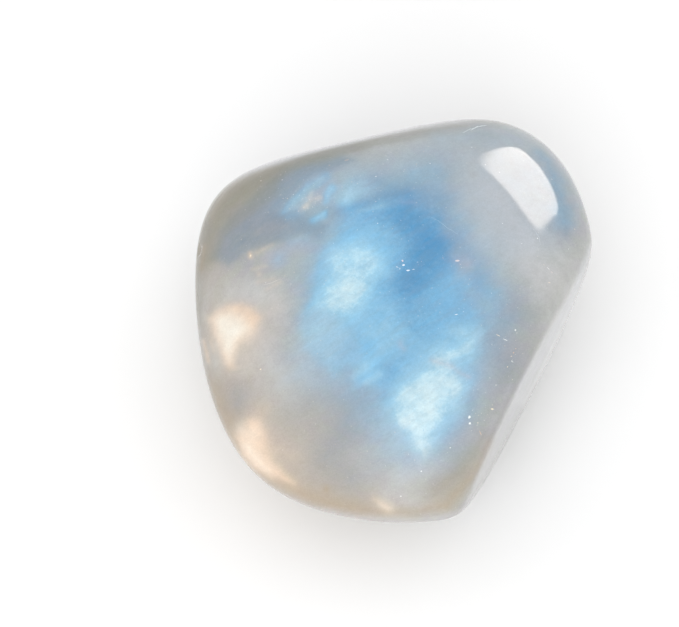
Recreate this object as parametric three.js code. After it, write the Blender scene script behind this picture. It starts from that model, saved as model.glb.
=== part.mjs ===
// Tumbled moonstone: one pebble of milky feldspar with a blue sheen.
//
// The pebble began as a broken chunk. Each broken face is still there as a gentle flat, and
// tumbling has worn the edges between them round. One face, the right wall, broke off late and
// keeps a crisper edge. The pebble rests on a small flat spot worn level on its underside.
//
// Millimetres, +Z up. The origin is at the middle of the pebble's footprint, on the level of the
// flat spot. +X is to the pebble's right and +Y to its back, seen from the front and above.

import * as THREE from 'three';
import { mergeVertices } from 'three/addons/utils/BufferGeometryUtils.js';

// Overall size of the finished pebble.
const WIDTH = 28.0;
const DEPTH = 31.4;
const HEIGHT = 16.2;

// How far the flat spot lies below the heart of the chunk, and how far above and below that
// level its rim is eased.
const FLAT_SPOT_DEPTH = 7.2;
const FLAT_SPOT_EASE = 1.2;

// Sharpness of the worn edges: a higher number leaves a tighter round.
const WORN_EDGE = 10;
const LATE_EDGE = 26;

// Squares along each side of the six patches that cover the pebble.
const PATCH_SQUARES = 20;

// The broken faces, each the plane that looks along its azimuth (from +X towards +Y) and its
// elevation, in degrees, and lies its distance in millimetres from the heart of the chunk.
const WORN_FACES = [
  { name: 'right end', azimuth: 8, elevation: 3, distance: 15.5 },
  { name: 'far corner', azimuth: 52, elevation: 20, distance: 17.6 },
  { name: 'back slant', azimuth: 107, elevation: 33, distance: 13.0 },
  { name: 'back left corner', azimuth: 153, elevation: 14, distance: 16.3 },
  { name: 'left', azimuth: 185, elevation: 0, distance: 14.7 },
  { name: 'front left', azimuth: 211, elevation: -15, distance: 14.6 },
  { name: 'front', azimuth: 247, elevation: -28, distance: 14.9 },
  { name: 'front corner', azimuth: 289, elevation: -28, distance: 14.7 },
  { name: 'crown', azimuth: 275, elevation: 83, distance: 8.3 },
  { name: 'far shoulder', azimuth: 25, elevation: 64, distance: 11.2 },
  { name: 'right shoulder', azimuth: 355, elevation: 48, distance: 13.0 },
  { name: 'left shoulder', azimuth: 190, elevation: 50, distance: 11.2 },
  { name: 'front shoulder', azimuth: 260, elevation: 48, distance: 12.0 },
  { name: 'under back', azimuth: 100, elevation: -30, distance: 12.8 },
  { name: 'heel', azimuth: 95, elevation: -52, distance: 9.8 },
  { name: 'under left', azimuth: 185, elevation: -46, distance: 10.4 },
  { name: 'under front', azimuth: 265, elevation: -58, distance: 9.9 },
  { name: 'under right', azimuth: 15, elevation: -46, distance: 10.8 },
  { name: 'under wall', azimuth: 335, elevation: -52, distance: 9.8 },
];
const LATE_FACE = { name: 'right wall', azimuth: 336, elevation: -4, distance: 10.9 };

// The unit vector along which a face looks.
function outlook({ azimuth, elevation }) {
  const around = THREE.MathUtils.degToRad(azimuth);
  const up = THREE.MathUtils.degToRad(elevation);
  const level = Math.cos(up);
  return new THREE.Vector3(level * Math.cos(around), level * Math.sin(around), Math.sin(up));
}

// How strongly a face bounds the stone along a direction: one over the distance from the heart
// to the face's plane, or nothing where the direction never meets the plane.
function bound(direction, face) {
  return Math.max(0, direction.dot(outlook(face))) / face.distance;
}

// Distance from the heart to the worn surface along a unit direction. Summing the faces' bounds
// to a high power follows the nearest face and rounds the edge where two are equally near.
function reach(direction) {
  const worn = WORN_FACES.reduce((sum, face) => sum + bound(direction, face) ** WORN_EDGE, 0);
  const chunk = worn ** (1 / WORN_EDGE);
  const late = bound(direction, LATE_FACE);
  return (chunk ** LATE_EDGE + late ** LATE_EDGE) ** (-1 / LATE_EDGE);
}

// The height of a point once the underside is worn level. Well above the flat spot nothing
// changes, well below it the stone is gone, and a parabola joins the two without a corner.
function wornLevel(height) {
  const above = height + FLAT_SPOT_DEPTH;
  if (above >= FLAT_SPOT_EASE) return height;
  if (above <= -FLAT_SPOT_EASE) return -FLAT_SPOT_DEPTH;
  return (above + FLAT_SPOT_EASE) ** 2 / (4 * FLAT_SPOT_EASE) - FLAT_SPOT_DEPTH;
}

// A cube's grid, spread evenly over all directions and pushed out to the worn surface.
function pebbleGeometry() {
  const box = new THREE.BoxGeometry(2, 2, 2, PATCH_SQUARES, PATCH_SQUARES, PATCH_SQUARES);
  box.deleteAttribute('normal');
  box.deleteAttribute('uv');
  const geometry = mergeVertices(box);
  const position = geometry.getAttribute('position');
  const point = new THREE.Vector3();
  const spread = (value) => Math.tan((value * Math.PI) / 4);
  for (let i = 0; i < position.count; i += 1) {
    point.fromBufferAttribute(position, i);
    point.set(spread(point.x), spread(point.y), spread(point.z)).normalize();
    point.multiplyScalar(reach(point));
    position.setXYZ(i, point.x, point.y, wornLevel(point.z));
  }
  return geometry;
}

// Brings a geometry to the pebble's overall size, standing on the origin.
function fitToSize(geometry) {
  geometry.computeBoundingBox();
  const middle = geometry.boundingBox.getCenter(new THREE.Vector3());
  const extent = geometry.boundingBox.getSize(new THREE.Vector3());
  geometry.translate(-middle.x, -middle.y, -geometry.boundingBox.min.z);
  geometry.scale(WIDTH / extent.x, DEPTH / extent.y, HEIGHT / extent.z);
  geometry.computeVertexNormals();
  return geometry;
}

const feldspar = new THREE.MeshStandardMaterial({ color: '#aab6c2', roughness: 0.12, metalness: 0 });

const moonstone = new THREE.Mesh(fitToSize(pebbleGeometry()), feldspar);
moonstone.name = 'moonstone';

const specimen = new THREE.Group();
specimen.add(moonstone);

export default specimen;
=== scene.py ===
"""A tumble-polished moonstone pebble on a pale floor, in soft studio light.

Metres, +Z up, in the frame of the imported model. Most sizes on a stone are millimetres, so they
are written as such and brought to metres with MM.
"""
import math

import bpy
import numpy as np
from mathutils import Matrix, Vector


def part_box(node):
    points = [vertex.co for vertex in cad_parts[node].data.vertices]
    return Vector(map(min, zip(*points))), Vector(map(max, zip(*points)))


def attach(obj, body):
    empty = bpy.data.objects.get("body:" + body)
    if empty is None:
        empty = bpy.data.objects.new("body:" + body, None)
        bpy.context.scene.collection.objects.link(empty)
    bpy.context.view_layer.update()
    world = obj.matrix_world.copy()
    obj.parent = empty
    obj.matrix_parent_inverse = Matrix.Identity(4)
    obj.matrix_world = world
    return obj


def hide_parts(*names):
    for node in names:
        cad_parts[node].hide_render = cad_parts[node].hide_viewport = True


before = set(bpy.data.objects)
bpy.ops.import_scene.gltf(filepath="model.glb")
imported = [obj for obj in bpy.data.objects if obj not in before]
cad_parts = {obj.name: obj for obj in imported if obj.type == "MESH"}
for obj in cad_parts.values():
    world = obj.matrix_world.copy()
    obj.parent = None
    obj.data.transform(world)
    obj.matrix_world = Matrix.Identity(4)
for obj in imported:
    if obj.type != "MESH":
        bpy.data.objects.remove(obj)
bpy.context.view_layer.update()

# ------------------------------------------------------------------------------
# The pebble's shape. It is one piece of milky feldspar, broken out of its vein and tumbled with
# grit until every edge but one was round. It lies loose, on a flat spot worn on its underside.

MM = 0.001

# Where the heart of the chunk lies, from which the broken faces are measured.
HEART = np.array([0.01, 0.31, 7.2]) * MM

# The broken faces: azimuth and elevation of each one's outlook in degrees, and its distance
# from the heart in millimetres.
WORN_FACES = {
    "right end": (8, 3, 15.5),
    "far corner": (52, 20, 17.6),
    "back slant": (107, 33, 13.0),
    "back left corner": (153, 14, 16.3),
    "left": (185, 0, 14.7),
    "front left": (211, -15, 14.6),
    "front": (247, -28, 14.9),
    "front corner": (289, -28, 14.7),
    "crown": (275, 83, 8.3),
    "far shoulder": (25, 64, 11.2),
    "right shoulder": (355, 48, 13.0),
    "left shoulder": (190, 50, 11.2),
    "front shoulder": (260, 48, 12.0),
    "under back": (100, -30, 12.8),
    "heel": (95, -52, 9.8),
    "under left": (185, -46, 10.4),
    "under front": (265, -58, 9.9),
    "under right": (15, -46, 10.8),
    "under wall": (335, -52, 9.8),
}
RIGHT_WALL = (336, -4, 10.9)

# The powers that round the edges between the faces: a higher one leaves a crisper edge.
WORN_EDGE = 10
LATE_EDGE = 26

# How far the flat spot lies below the heart, and how far from that level its rim is eased.
FLAT_SPOT_DEPTH = 7.2
FLAT_SPOT_EASE = 1.2

# Squares along each side of the six patches that cover the pebble.
PATCH_SQUARES = 128

# Steps after which the hills of a cloud repeat, and about how high its layers reach together.
CLOUD_STEPS = 64
CLOUD_TOP = 1.4


def unit(vectors):
    """Vectors brought to a length of one."""
    return vectors / np.linalg.norm(vectors, axis=-1, keepdims=True)


def outlook(azimuth, elevation):
    """The unit vector that looks along an azimuth and an elevation, both in degrees."""
    around, up = math.radians(azimuth), math.radians(elevation)
    return np.array([math.cos(up) * math.cos(around), math.cos(up) * math.sin(around), math.sin(up)])


def cube_grid(squares):
    """Directions spread evenly over a ball, and the four-cornered meshes between them.

    Each side of a cube carries a grid of two parameters from -1 to 1. A parameter t goes to
    tan(t * 45 degrees), and every point is then pulled onto the ball. Sides share the points
    along their edges, so the ball has no seams and no poles.
    """
    across, along = np.meshgrid(np.arange(squares + 1), np.arange(squares + 1), indexing="ij")
    number = np.arange(across.size).reshape(across.shape)
    quad = np.stack([number[:-1, :-1], number[1:, :-1], number[1:, 1:], number[:-1, 1:]], -1)
    places, quads = [], []
    for axis in range(3):
        for end in (0, squares):
            place = np.zeros(across.shape + (3,), int)
            place[..., axis] = end
            place[..., (axis + 1) % 3] = across
            place[..., (axis + 2) % 3] = along
            outward = quad if end else quad[..., ::-1]
            quads.append(outward.reshape(-1, 4) + len(places) * across.size)
            places.append(place.reshape(-1, 3))
    lattice, welded = np.unique(np.concatenate(places), axis=0, return_inverse=True)
    direction = unit(np.tan((2 * lattice / squares - 1) * math.pi / 4))
    return direction, welded.reshape(-1)[np.concatenate(quads)]


def reach(direction):
    """Millimetres from the heart to the worn surface.

    A face bounds the stone along a direction by 1 / distance to its plane. The bounds of the
    worn faces are summed to a power, which rounds their edges, and the right wall joins them
    to a higher power, which leaves a crisper edge.
    """
    worn = sum(
        np.maximum(0, direction @ outlook(azimuth, elevation) / distance) ** WORN_EDGE
        for azimuth, elevation, distance in WORN_FACES.values()
    )
    azimuth, elevation, distance = RIGHT_WALL
    late = np.maximum(0, direction @ outlook(azimuth, elevation) / distance) ** LATE_EDGE
    return (worn ** (LATE_EDGE / WORN_EDGE) + late) ** (-1 / LATE_EDGE)


def worn_level(height):
    """Heights once the underside is worn flat, with a parabola easing the flat spot's rim."""
    above = np.clip(height + FLAT_SPOT_DEPTH, -FLAT_SPOT_EASE, FLAT_SPOT_EASE)
    eased = (above + FLAT_SPOT_EASE) ** 2 / (4 * FLAT_SPOT_EASE) - FLAT_SPOT_DEPTH
    return np.where(height + FLAT_SPOT_DEPTH > FLAT_SPOT_EASE, height, eased)


def clouds(points, spacing, seed, layers=3):
    """Soft random hills from about -1 to 1, where points and spacing are in millimetres.

    Random heights stand on a lattice, and are blended between its corners by 3t^2 - 2t^3. Each
    further layer has half the spacing and half the height of the one before.
    """
    hills = np.zeros(len(points))
    random = np.random.default_rng(seed)
    for layer in range(layers):
        heights = random.uniform(-1, 1, (CLOUD_STEPS, CLOUD_STEPS, CLOUD_STEPS))
        place = points * 2**layer / spacing + random.uniform(0, CLOUD_STEPS, 3)
        cell = np.floor(place).astype(int)
        inside = place - cell
        share = inside * inside * (3 - 2 * inside)
        for corner in np.ndindex(2, 2, 2):
            weight = np.prod(np.where(corner, share, 1 - share), axis=1)
            i, j, k = ((cell + corner) % CLOUD_STEPS).T
            hills += weight * heights[i, j, k] / 2**layer
    return hills / CLOUD_TOP


def outward_normals(points, quads):
    """Unit normals of a closed mesh: the crossed diagonals of the squares around each point."""
    a, b, c, d = (points[quads[:, k]] for k in range(4))
    crossed = np.cross(c - a, d - b)
    normals = np.zeros_like(points)
    for k in range(4):
        np.add.at(normals, quads[:, k], crossed)
    return unit(normals)


# The sheen layers lie across the stone, tilted back from level. These are the directions across
# them, along them and out of them.
LAYER_TILT = math.radians(60)
ACROSS = np.array([1.0, 0.0, 0.0])
ALONG = np.array([0.0, math.sin(LAYER_TILT), math.cos(LAYER_TILT)])
OUT = np.array([0.0, -math.cos(LAYER_TILT), math.sin(LAYER_TILT)])

# How far the mesh's points are drawn towards the crown, which carries the finest detail.
CROWN_PULL = 0.35

# Height of the gentle waves that tumbling leaves in the polish, their length, and the radius of
# the ball that they are laid out on.
WAVE_HEIGHT = 0.035
WAVE_LENGTH = 4.5
WAVE_BALL = 10

# A small nick on the left edge: where it lies, its depth and its half width.
NICK = np.array([-13.8, 4.7, 0.0])
NICK_DEPTH = 0.18
NICK_WIDTH = 0.35

lowest, highest = (np.array(corner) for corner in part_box("moonstone"))
direction, quads = cube_grid(PATCH_SQUARES)
direction = unit(direction + OUT * CROWN_PULL)
waves = WAVE_HEIGHT * clouds(direction * WAVE_BALL, WAVE_LENGTH, 5, 2)
chunk = direction * (reach(direction) + waves)[:, None]
chunk[:, 2] = worn_level(chunk[:, 2])
share = (chunk - chunk.min(0)) / (chunk.max(0) - chunk.min(0))
points = lowest + share * (highest - lowest)
nick = HEART + (NICK @ np.stack([ACROSS, ALONG, OUT])) * MM
dent = NICK_DEPTH * np.exp(-(((points - nick) ** 2).sum(1)) / (NICK_WIDTH * MM) ** 2)
points -= dent[:, None] * MM * direction
normals = outward_normals(points, quads)

# The pebble holds a cloud of blue sheen and glows, both painted light in its colour, and patches
# of paler and darker feldspar. Each is placed in millimetres across and along the sheen layers,
# and lies in soft-edged veils.

# Stands in for a length of nothing, which can't divide anything.
TINY = 1e-9

# How many softnesses inside or outside its edge a veil is taken to be at its fullest or gone.
EDGE_REACH = 30


def stone_axes(points):
    """Millimetres across, along and out of the sheen layers, from the heart."""
    return (points - HEART) @ np.stack([ACROSS, ALONG, OUT], 1) / MM


def smooth(value, start, end):
    """0 before start, 1 after end, and 3t^2 - 2t^3 between."""
    t = np.clip((value - start) / (end - start), 0, 1)
    return t * t * (3 - 2 * t)


def nearest(place, start, end):
    """The share of the way from start to end at the point nearest each place, and the distance."""
    step = np.subtract(end, start)
    share = np.clip((place - start) @ step / max(step @ step, TINY), 0, 1)
    return share, np.linalg.norm(place - start - share[:, None] * step, axis=1)


def stroke_depth(place, path):
    """Millimetres inside a stroke, along a path of points that each have a half width."""
    depth = np.full(len(place), -np.inf)
    for (*start, width), (*end, later) in zip(path, path[1:] or path):
        share, away = nearest(place, start, end)
        depth = np.maximum(depth, width + share * (later - width) - away)
    return depth


def patch_depth(place, outline):
    """Millimetres inside a closed outline. A place is inside where a ray crosses it oddly often."""
    away = np.full(len(place), np.inf)
    inside = np.zeros(len(place), bool)
    for start, end in zip(outline, outline[1:] + outline[:1]):
        away = np.minimum(away, nearest(place, start, end)[1])
        spans = (place[:, 1] < start[1]) != (place[:, 1] < end[1])
        slope = (end[0] - start[0]) / ((end[1] - start[1]) or TINY)
        inside ^= spans & (place[:, 0] < start[0] + (place[:, 1] - start[1]) * slope)
    return np.where(inside, away, -away)


def veils(place, rows):
    """How much veil lies over each place, from 0 to 1.

    A row holds a shape, the softness of its edge in millimetres and its strength. The shape is
    a path with half widths or a closed outline. The veil counts 1 / (1 + exp(-depth / softness))
    of its strength, and what each veil lets through is multiplied.
    """
    clear = np.ones(len(place))
    for shape, softness, strength in rows:
        depth = (stroke_depth if len(shape[0]) == 3 else patch_depth)(place, shape)
        clear *= 1 - strength / (1 + np.exp(np.clip(-depth / softness, -EDGE_REACH, EDGE_REACH)))
    return 1 - clear


# The painted blue sheen: a cloud crisp on its left and soft elsewhere, and its outliers.
BLUE = [
    ([
        (-3.6, 8.2), (0.6, 8.9), (2.2, 8.5), (3.3, 7.4), (4.1, 5.7), (4.3, 4.0), (5.2, 2.8), (6.2, 0.2),
        (6.2, -2.4), (5.7, -4.6), (4.4, -6.9), (3.0, -8.7), (2.2, -9.1), (1.0, -8.0), (0.0, -6.7),
        (-0.6, -4.6), (-2.5, -4.1), (-2.6, -2.4), (-3.2, -0.6), (-4.4, 0.4), (-5.7, 0.8), (-5.6, 2.2),
        (-5.4, 3.2), (-5.0, 4.4), (-4.5, 5.4), (-4.0, 6.4), (-3.5, 7.3),
    ], 0.35, 0.8),
    ([
        (-5.8, 0.8), (-5.6, 2.2), (-5.4, 3.2), (-5.1, 4.4), (-4.5, 5.4), (-3.0, 6.4), (-1.0, 6.0),
        (0.0, 4.0), (-0.6, 1.0), (-0.8, -1.6), (-0.6, -4.3), (-2.5, -4.1), (-1.8, -2.0), (-3.2, 0.0),
        (-4.4, 0.6),
    ], 0.12, 0.5),
    ([
        (-6.0, 0.8), (-6.3, -0.6), (-6.0, -2.2), (-5.0, -3.2), (-3.8, -3.8), (-2.4, -3.0), (-2.8, 0.4),
        (-4.6, 1.2),
    ], 0.2, 0.5),
    ([
        (-6.5, 3.4), (-6.6, 0.6), (-7.1, -2.6), (-6.6, -4.3), (-4.8, -4.9), (-2.6, -5.8), (-1.5, -8.0),
        (-0.4, -9.6), (0.9, -10.4), (1.9, -10.2), (3.2, -9.5), (4.6, -8.2), (6.0, -6.4), (6.8, -3.8),
        (7.2, -1.0), (7.6, 0.6), (7.6, 2.6), (7.0, 4.2), (5.6, 6.3), (4.4, 8.0), (3.0, 10.4),
        (1.6, 10.4), (-1.0, 10.2), (-3.6, 10.6), (-6.7, 10.0), (-8.2, 8.0), (-7.4, 7.0), (-5.2, 6.6),
    ], 0.6, 0.34),
    ([(4.8, 6.4, 0.5), (6.0, 3.6, 0.5), (6.8, 2.2, 0.6), (7.2, 0.6, 0.3)], 0.6, 0.36),
    ([(-2.0, 9.8, 0.3), (0.6, 10.2, 0.5), (2.6, 10.2, 0.5), (4.2, 7.6, 0.4)], 0.6, 0.24),
    ([(-1.0, -6.4, 0.5), (0.2, -8.6, 0.6)], 0.7, 0.15),
    ([(1.2, 10.6, 0.3), (2.6, 10.9, 0.4)], 0.4, 0.3),
    ([(5.9, 3.2, 0.4), (6.6, 2.3, 0.4)], 0.4, 0.38),
    ([(-7.8, 7.6, 0.1), (-6.9, 8.5, 0.2), (-5.9, 9.4, 0.25), (-5.0, 10.1, 0.2)], 0.14, 0.5),
    ([(-7.6, 8.1, 0.04), (-6.4, 9.3, 0.05)], 0.07, 0.4),
    ([(-7.2, 7.6, 0.04), (-6.3, 8.3, 0.05)], 0.06, 0.35),
    ([(-5.6, 9.2, 0.05), (-4.8, 9.9, 0.05)], 0.08, 0.35),
    ([(-7.8, 7.05, 0.06), (-6.7, 7.65, 0.06)], 0.1, 0.4),
    ([(-5.7, 7.1, 0.2), (-5.0, 7.45, 0.24)], 0.09, 0.8),
    ([(-4.75, 8.6, 0.25), (-4.45, 9.1, 0.3)], 0.1, 0.75),
    ([(-7.4, 5.5, 0.2), (-6.3, 5.8, 0.2)], 0.25, 0.25),
    ([(-3.3, 8.5, 0.5), (-2.8, 9.2, 0.6)], 0.25, 0.5),
    ([(-8.0, 4.3, 0.35)], 0.3, 0.45),
    ([(-7.3, 5.4, 0.2), (-6.0, 5.8, 0.3)], 0.3, 0.2),
    ([(9.8, 12.2, 0.2), (11.4, 9.8, 0.4), (12.1, 7.2, 0.5)], 0.3, 0.42),
    ([(3.0, 13.0, 0.3), (6.0, 13.5, 0.4), (8.6, 13.2, 0.3)], 0.4, 0.22),
    ([(10.9, 6.0, 0.8)], 0.8, 0.15),
]
# Where the painted sheen is deep blue, and where it gleams almost white.
DEEP = [
    ([
        (0.3, 3.5), (0.8, 4.6), (0.6, 5.6), (-0.2, 6.4), (-1.0, 6.9), (-0.8, 7.9), (0.8, 8.7),
        (2.4, 8.3), (3.8, 7.0), (4.6, 5.6), (4.3, 4.3), (2.9, 3.2), (1.9, 1.8), (1.2, 1.4), (0.4, 2.4),
    ], 0.35, 0.72),
    ([(2.0, 8.8, 0.2), (3.2, 8.0, 0.4), (4.4, 6.8, 0.5), (5.2, 4.9, 0.4), (6.2, 3.2, 0.4)], 0.5, 0.5),
    ([(-1.8, 6.2, 0.5), (0.6, 5.4, 0.5)], 0.5, 0.1),
    ([(2.0, 5.0, 0.6), (3.0, 5.8, 0.8)], 0.4, 0.7),
    ([(0.4, 5.8, 0.5)], 0.5, 0.22),
    ([(0.9, 7.7, 0.5), (1.5, 7.4, 0.4)], 0.4, 0.4),
    ([(0.8, 2.7, 0.3), (1.6, 3.2, 0.4)], 0.3, 0.3),
    ([(1.0, 0.1, 0.2), (1.6, -0.4, 0.2)], 0.3, 0.3),
    ([(-0.2, -2.4, 0.2), (1.0, -2.5, 0.2)], 0.25, 0.25),
    ([(-0.5, -3.2, 0.2), (0.3, -3.6, 0.3)], 0.3, 0.3),
    ([(-4.6, 4.5, 0.03), (-3.6, 4.3, 0.06), (-2.6, 3.9, 0.06), (-1.6, 3.3, 0.03)], 0.07, 0.5),
    ([(-3.4, 4.2, 0.02), (-2.9, 4.9, 0.03)], 0.06, 0.3),
    ([(-5.2, 2.6, 0.02), (-3.6, 2.4, 0.05)], 0.07, 0.35),
    ([(-0.9, 2.6, 0.05), (-1.7, 1.0, 0.05)], 0.12, 0.3),
    ([(-5.4, 3.9, 0.05), (-4.9, 4.0, 0.05)], 0.08, 0.3),
    ([(-4.6, 7.5, 0.15), (-2.8, 8.0, 0.2), (-1.2, 8.8, 0.25), (0.7, 8.95, 0.35)], 0.16, 0.6),
    ([(-2.1, 7.4, 0.4), (-0.6, 7.8, 0.4), (1.0, 8.2, 0.3)], 0.4, 0.35),
    ([(-1.6, -1.9, 0.5), (-3.0, -2.9, 0.3)], 0.4, 0.05),
    ([(0.6, -2.7, 0.7), (-0.4, -5.1, 0.4)], 0.8, 0.12),
    ([(1.4, 1.0, 0.4), (2.4, -0.4, 0.7)], 0.7, 0.38),
    ([(4.4, -7.2, 0.1), (3.4, -8.8, 0.1)], 0.35, 0.2),
]
GLEAM = [
    ([
        (-4.4, 5.2), (-3.1, 5.5), (-2.3, 5.6), (-1.2, 5.0), (-0.7, 4.2), (-0.6, 3.4), (-1.1, 2.6),
        (-1.7, 1.8), (-2.6, 1.0), (-3.2, 0.3), (-4.6, 0.4), (-5.4, 0.6), (-5.1, 2.2), (-5.0, 3.2),
        (-4.8, 4.4),
    ], 0.32, 0.72),
    ([
        (-4.6, 2.0), (-3.6, 2.9), (-2.2, 2.8), (-1.8, 1.8), (-2.2, 0.9), (-3.0, 0.5), (-4.4, 0.7),
    ], 0.4, 0.48),
    ([(5.1, -1.5, 0.4)], 0.3, 0.45),
    ([(-3.9, 4.6, 0.3), (-2.4, 4.8, 0.4), (-1.6, 4.0, 0.35)], 0.25, 0.45),
    ([(-3.9, 0.9, 0.3), (-3.0, 1.6, 0.4)], 0.3, 0.4),
    ([(-4.2, -0.4, 0.5), (-6.2, -2.2, 0.4)], 0.5, 0.42),
    ([(-2.1, 2.3, 0.4)], 0.4, 0.35),
    ([(-3.6, 8.6, 0.4), (-2.6, 9.2, 0.5)], 0.3, 0.4),
    ([(-2.4, 6.0, 0.3), (-1.4, 6.2, 0.4), (-0.2, 6.1, 0.3)], 0.4, 0.18),
    ([(-1.4, 1.2, 0.15), (-0.2, 0.8, 0.15)], 0.2, 0.2),
    ([(-1.9, -0.9, 0.2), (-0.2, -0.1, 0.2)], 0.25, 0.3),
    ([(-0.6, -1.6, 0.15), (0.6, -0.9, 0.1)], 0.2, 0.25),
    ([(0.4, -7.6, 0.4)], 0.4, 0.4),
    ([(1.6, -3.1, 0.3), (3.4, -2.4, 0.4)], 0.3, 0.35),
    ([(-5.7, 0.6, 0.5), (-4.7, 2.6, 0.5)], 0.5, 0.12),
    ([(-1.4, 5.8, 0.4), (0.8, 6.2, 0.3)], 0.4, 0.1),
    ([(-6.1, -0.8, 0.2), (-5.0, -0.3, 0.5)], 0.35, 0.5),
    ([(-5.5, -1.6, 0.5), (-4.5, -2.6, 0.6)], 0.5, 0.6),
    ([(-1.6, -3.0, 0.5), (-0.6, -2.2, 0.5)], 0.5, 0.48),
    ([(-3.8, -1.4, 0.6)], 0.5, 0.3),
    ([(-3.4, 0.2, 0.5), (-1.2, 0.0, 0.8), (0.6, -0.8, 0.7), (2.4, -1.4, 0.5)], 0.7, 0.35),
    ([
        (0.8, -3.9), (1.9, -3.4), (3.6, -2.8), (5.2, -3.3), (5.5, -4.5), (5.0, -5.7), (4.1, -6.9),
        (3.3, -7.8), (3.0, -8.9), (2.4, -9.5), (1.6, -8.9), (0.6, -7.7), (-0.1, -6.1), (0.3, -4.7),
    ], 0.28, 0.8),
    ([(1.8, -4.9, 0.7), (3.9, -4.3, 0.9)], 0.4, 0.7),
    ([(1.2, -6.9, 0.4), (2.4, -6.2, 0.9), (2.0, -7.6, 0.4)], 0.3, 0.85),
    ([(2.5, -9.5, 0.3), (2.2, -7.6, 0.5)], 0.3, 0.7),
    ([(4.7, -0.9, 0.4), (5.8, -0.9, 0.4), (5.2, -2.2, 0.6), (3.4, -2.6, 0.5)], 0.35, 0.88),
    ([(-2.6, -4.0, 0.15), (-1.9, -3.3, 0.3)], 0.1, 0.45),
    ([(-1.7, -4.15, 0.2), (-0.9, -3.7, 0.2)], 0.08, 0.5),
    ([(-4.7, 8.6, 0.15), (-4.5, 9.1, 0.2)], 0.1, 0.6),
    ([(-5.6, 7.15, 0.12), (-5.1, 7.4, 0.14)], 0.09, 0.6),
    ([(-3.3, 8.5, 0.35), (-2.8, 9.2, 0.45)], 0.2, 0.55),
    ([(-2.4, 7.7, 0.08), (-1.0, 8.1, 0.12)], 0.12, 0.4),
    ([(-7.4, 8.0, 0.1), (-6.2, 9.1, 0.15), (-5.3, 9.8, 0.15)], 0.12, 0.35),
]
# Painted glows near the left edge: the softbox's light, which passes through the stone and
# gathers there, painted into its colour: their soft fringe of peach, and their bright middle.
PEACH_GLOW = [
    ([
        (-12.9, -0.1), (-12.4, 0.4), (-11.6, 0.8), (-10.6, 0.9), (-9.9, 0.6), (-9.4, 0.0), (-9.7, -0.8),
        (-10.3, -1.4), (-10.8, -1.9), (-11.1, -2.6), (-11.1, -3.4), (-11.4, -3.5), (-11.9, -2.8),
        (-12.3, -1.6), (-12.7, -0.9),
    ], 0.18, 0.95),
    ([(-12.8, -1.6, 0.04), (-12.6, -2.4, 0.04)], 0.08, 0.4),
    ([
        (-10.7, -8.6), (-10.4, -7.9), (-9.9, -7.2), (-9.3, -7.3), (-8.8, -8.0), (-8.6, -9.3),
        (-8.1, -10.3), (-7.3, -11.1), (-6.7, -11.6), (-8.3, -11.2), (-9.4, -10.6), (-10.3, -9.8),
    ], 0.2, 0.9),
    ([(-9.0, 0.2, 0.3), (-8.2, 0.8, 0.2)], 0.5, 0.2),
    ([(-10.1, -1.6, 0.3), (-10.1, -3.2, 0.4)], 0.5, 0.2),
    ([(-8.2, -9.2, 0.3), (-6.7, -9.8, 0.3)], 0.5, 0.25),
    ([(-0.9, -12.5, 0.05), (0.0, -13.1, 0.14)], 0.18, 0.6),
    ([(-9.2, -6.6, 0.3), (-9.0, -8.6, 0.3)], 0.4, 0.35),
    ([(-10.0, -1.2, 0.3)], 0.4, 0.35),
    ([(-13.3, -1.7, 0.08), (-12.9, -3.1, 0.06)], 0.08, 0.6),
    ([(-9.5, 2.5, 0.05), (-8.4, 2.8, 0.05)], 0.1, 0.3),
    ([(-9.4, 3.1, 0.1)], 0.12, 0.4),
    ([(-9.9, 3.4, 0.04), (-8.9, 3.7, 0.04)], 0.07, 0.35),
    ([(-9.6, 4.6, 0.04), (-8.6, 5.2, 0.05)], 0.08, 0.3),
    ([(-8.9, 2.0, 0.04), (-7.9, 2.6, 0.04)], 0.08, 0.3),
    ([(-10.0, 4.4, 0.05), (-9.2, 4.9, 0.05)], 0.12, 0.2),
    ([(-10.1, 4.5, 0.08), (-10.05, 4.3, 0.1)], 0.07, 0.75),
    ([(-6.7, 7.7, 0.06), (-6.1, 8.3, 0.14), (-5.4, 8.6, 0.08)], 0.14, 0.34),
    ([(-9.6, 6.0, 0.1), (-7.6, 6.6, 0.1)], 0.25, 0.12),
]
CREAM_GLOW = [
    ([
        (-12.6, -0.2), (-12.2, 0.2), (-11.4, 0.3), (-10.7, 0.0), (-10.2, -0.8), (-10.9, -1.6),
        (-11.3, -2.3), (-11.8, -2.2), (-12.3, -1.2),
    ], 0.22, 0.95),
    ([(-11.6, -2.1, 0.3), (-11.4, -3.0, 0.2)], 0.15, 0.6),
    ([(-10.6, -1.0, 0.3)], 0.3, 0.5),
    ([(-10.4, -7.9, 0.35), (-9.6, -8.2, 0.4)], 0.3, 0.4),
    ([(-10.0, -9.1, 0.2), (-9.3, -9.9, 0.3), (-8.5, -10.7, 0.1)], 0.25, 0.55),
    ([(-0.5, -12.8, 0.06), (0.1, -13.2, 0.1)], 0.15, 0.4),
    ([(-6.45, 7.85, 0.05), (-6.2, 8.0, 0.06)], 0.07, 0.5),
    ([(-6.1, 8.5, 0.03), (-5.9, 8.9, 0.03)], 0.07, 0.4),
    ([(-5.5, 8.45, 0.03), (-5.2, 8.6, 0.03)], 0.07, 0.3),
]
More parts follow.
